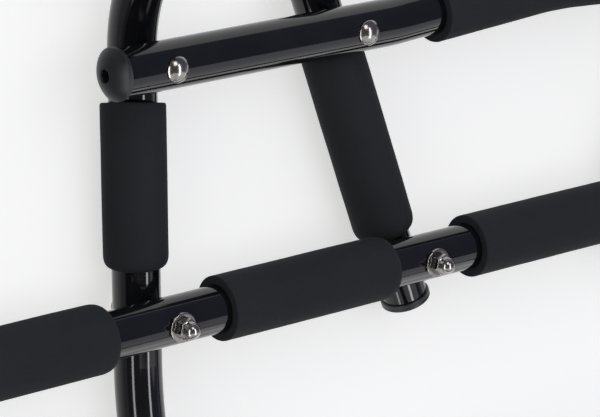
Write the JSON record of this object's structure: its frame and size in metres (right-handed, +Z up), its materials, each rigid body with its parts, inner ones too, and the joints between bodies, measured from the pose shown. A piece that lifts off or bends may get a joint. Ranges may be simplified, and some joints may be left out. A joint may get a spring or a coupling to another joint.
{
  "type": "pull up bar",
  "caption": "Doorway pull up bar: bolted black tube frame with main bar, bent front bar, side and slanting inner grips, raised horns and a padded hook bar that rests on the door trim.",
  "frame": {"origin": "underside of the hook pad, on the door trim, midway along the pad", "axes": "+X along the bars, +Y from the user towards the far side of the wall, +Z up"},
  "size_m": [1.0714, 0.5695, 0.2054],
  "materials": {
    "black_steel": "gloss black powder coat",
    "grip_foam": "matte closed-cell foam, skinned and fine-pored",
    "pad_foam": "dense matte foam",
    "moulded_rubber": "satin moulded rubber",
    "plated_steel": "bright nickel plate"
  },
  "bodies": {
    "root": {"main_bar_left": "black_steel", "main_bar_right": "black_steel", "main_bar_joiner": "black_steel", "front_bar": "black_steel", "side_tube_left": "black_steel", "side_tube_right": "black_steel", "inner_tube_left": "black_steel", "inner_tube_right": "black_steel", "hook_bar": "black_steel", "main_end_foam_left": "grip_foam", "main_end_foam_right": "grip_foam", "main_mid_foam_left": "grip_foam", "main_mid_foam_right": "grip_foam", "main_centre_foam": "grip_foam", "front_foam": "grip_foam", "side_foam_left": "grip_foam", "side_foam_right": "grip_foam", "inner_foam_left": "grip_foam", "inner_foam_right": "grip_foam", "horn_foam_left": "grip_foam", "horn_foam_right": "grip_foam", "hook_pad": "pad_foam", "main_bar_plug_left": "moulded_rubber", "main_bar_plug_right": "moulded_rubber", "front_bar_plug_left": "moulded_rubber", "front_bar_plug_right": "moulded_rubber", "inner_tube_main_plug_left": "moulded_rubber", "inner_tube_main_plug_right": "moulded_rubber", "inner_tube_front_plug_left": "moulded_rubber", "inner_tube_front_plug_right": "moulded_rubber", "horn_plug_left": "moulded_rubber", "horn_plug_right": "moulded_rubber", "upright_plug_left": "moulded_rubber", "upright_plug_right": "moulded_rubber", "hook_plug_left": "moulded_rubber", "hook_plug_right": "moulded_rubber", "front_bolts": "plated_steel", "front_weld_nuts": "plated_steel", "main_bolts": "plated_steel", "main_washers": "plated_steel", "main_cap_nuts": "plated_steel", "hook_bolts": "plated_steel", "hook_washers": "plated_steel", "hook_cap_nuts": "plated_steel"}
  },
  "joints": []
}
